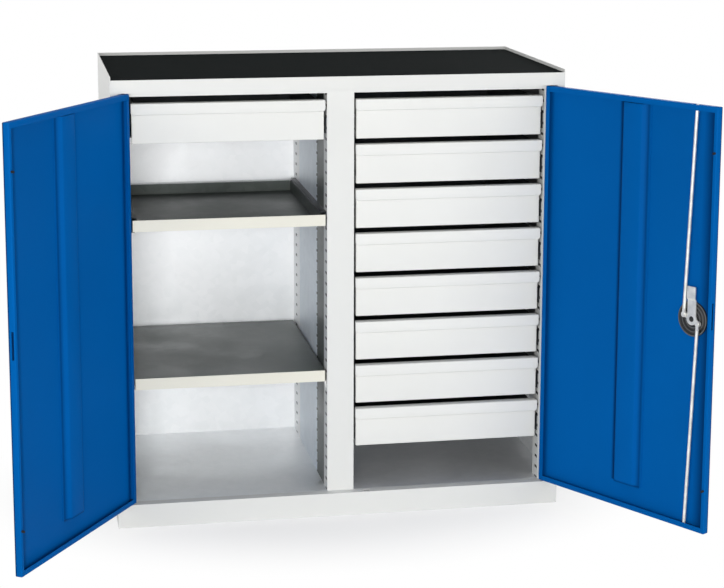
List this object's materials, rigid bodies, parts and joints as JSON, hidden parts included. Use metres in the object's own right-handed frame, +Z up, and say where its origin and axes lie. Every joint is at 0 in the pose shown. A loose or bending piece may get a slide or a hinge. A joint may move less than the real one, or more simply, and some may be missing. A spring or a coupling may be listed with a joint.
{
  "type": "tool cabinet with doors",
  "caption": "Free-standing steel tool cabinet with two hinged blue doors over a bank of drawers, a pull-out tray and a shelf, with a rod lock and a rubber-topped work surface.",
  "frame": {"origin": "on the ground under the middle of the carcass footprint, on the underside of the base rail", "axes": "+X to the right seen from the front, +Y to the back, +Z up from the ground"},
  "size_m": [1.4431, 0.9261, 1],
  "materials": {
    "blue_doors": "smooth semi-gloss blue powder paint",
    "light_grey_paint": "fine textured light grey powder paint",
    "drawer_paint": "fine textured light grey powder paint",
    "cream_paint": "warm light grey powder paint",
    "galvanised": "galvanised sheet with soft blotches",
    "mat_rubber": "black finely ribbed rubber",
    "buffer_rubber": "black soft rubber",
    "slide_steel": "zinc plated dark steel",
    "black_plastic": "black satin plastic",
    "zinc": "bright zinc plated steel",
    "pin_steel": "dark steel"
  },
  "bodies": {
    "carcass": {"side_panel_left": "light_grey_paint", "side_panel_right": "light_grey_paint", "back_panel": "light_grey_paint", "floor_panel": "galvanised", "base_rail": "galvanised", "plinth": "light_grey_paint", "top_cover": "light_grey_paint", "rubber_mat": "mat_rubber", "front_post": "light_grey_paint", "partition": "galvanised", "upright_front_left": "light_grey_paint", "upright_front_right": "light_grey_paint", "upright_rear_left": "galvanised", "upright_rear_right": "galvanised", "runners_left_bay": "slide_steel", "runners_right_bay": "slide_steel", "fixed_shelf": "cream_paint", "shelf_clips": "zinc", "hinge_pins": "pin_steel"},
    "left_door": {"door_left": "blue_doors", "door_left_stiffener": "blue_doors", "buffers_left": "buffer_rubber"},
    "right_door": {"door_right": "blue_doors", "door_right_stiffener": "blue_doors", "buffers_right": "buffer_rubber", "lock_housing": "black_plastic", "rod_guides": "black_plastic"},
    "lock": {"lock_cam": "zinc", "lock_handle": "black_plastic"},
    "upper_rod": {"rod_upper": "zinc"},
    "lower_rod": {"rod_lower": "zinc"},
    "pullout_tray": {"tray": "cream_paint", "tray_rails": "slide_steel"},
    "drawer_1": {"drawer_1_box": "drawer_paint", "drawer_1_front": "drawer_paint", "drawer_1_rails": "slide_steel"},
    "drawer_2": {"drawer_2_box": "drawer_paint", "drawer_2_front": "drawer_paint", "drawer_2_rails": "slide_steel"},
    "drawer_3": {"drawer_3_box": "drawer_paint", "drawer_3_front": "drawer_paint", "drawer_3_rails": "slide_steel"},
    "drawer_4": {"drawer_4_box": "drawer_paint", "drawer_4_front": "drawer_paint", "drawer_4_rails": "slide_steel"},
    "drawer_5": {"drawer_5_box": "drawer_paint", "drawer_5_front": "drawer_paint", "drawer_5_rails": "slide_steel"},
    "drawer_6": {"drawer_6_box": "drawer_paint", "drawer_6_front": "drawer_paint", "drawer_6_rails": "slide_steel"},
    "drawer_7": {"drawer_7_box": "drawer_paint", "drawer_7_front": "drawer_paint", "drawer_7_rails": "slide_steel"},
    "drawer_8": {"drawer_8_box": "drawer_paint", "drawer_8_front": "drawer_paint", "drawer_8_rails": "slide_steel"},
    "drawer_9": {"drawer_9_box": "drawer_paint", "drawer_9_front": "drawer_paint", "drawer_9_rails": "slide_steel"}
  },
  "joints": [
    {"name": "left_door_hinge", "type": "hinge", "parent": "carcass", "child": "left_door", "pos_m": [-0.472, -0.254, 0.5], "axis": [0, 0, -1], "range_deg": [-122, 3]},
    {"name": "right_door_hinge", "type": "hinge", "parent": "carcass", "child": "right_door", "pos_m": [0.472, -0.254, 0.5], "axis": [0, 0, 1], "range_deg": [-120.5, 4.5]},
    {"name": "lock_turn", "type": "hinge", "parent": "right_door", "child": "lock", "pos_m": [0.68704, -0.60724, 0.51], "axis": [-0.8616, -0.5075, 0], "range_deg": [-90, 0]},
    {"name": "upper_rod_turn", "type": "hinge", "parent": "lock", "child": "upper_rod", "pos_m": [0.66858, -0.59659, 0.51749], "axis": [-0.8616, -0.5075, 0], "range_deg": [0, 94]},
    {"name": "lower_rod_turn", "type": "hinge", "parent": "lock", "child": "lower_rod", "pos_m": [0.6874, -0.62855, 0.50251], "axis": [-0.8616, -0.5075, 0], "range_deg": [0, 94]},
    {"name": "tray_slide", "type": "slide", "parent": "carcass", "child": "pullout_tray", "axis": [0, -1, 0], "range_m": [0, 0.36]},
    {"name": "drawer_1_slide", "type": "slide", "parent": "carcass", "child": "drawer_1", "axis": [0, -1, 0], "range_m": [0, 0.36]},
    {"name": "drawer_2_slide", "type": "slide", "parent": "carcass", "child": "drawer_2", "axis": [0, -1, 0], "range_m": [0, 0.36]},
    {"name": "drawer_3_slide", "type": "slide", "parent": "carcass", "child": "drawer_3", "axis": [0, -1, 0], "range_m": [0, 0.36]},
    {"name": "drawer_4_slide", "type": "slide", "parent": "carcass", "child": "drawer_4", "axis": [0, -1, 0], "range_m": [0, 0.36]},
    {"name": "drawer_5_slide", "type": "slide", "parent": "carcass", "child": "drawer_5", "axis": [0, -1, 0], "range_m": [0, 0.36]},
    {"name": "drawer_6_slide", "type": "slide", "parent": "carcass", "child": "drawer_6", "axis": [0, -1, 0], "range_m": [0, 0.36]},
    {"name": "drawer_7_slide", "type": "slide", "parent": "carcass", "child": "drawer_7", "axis": [0, -1, 0], "range_m": [0, 0.36]},
    {"name": "drawer_8_slide", "type": "slide", "parent": "carcass", "child": "drawer_8", "axis": [0, -1, 0], "range_m": [0, 0.36]},
    {"name": "drawer_9_slide", "type": "slide", "parent": "carcass", "child": "drawer_9", "axis": [0, -1, 0], "range_m": [0, 0.36]}
  ],
  "couplings": [
    {"joint": "upper_rod_turn", "follows": "lock_turn", "ratio": -1.0375},
    {"joint": "lower_rod_turn", "follows": "lock_turn", "ratio": -1.0373}
  ]
}
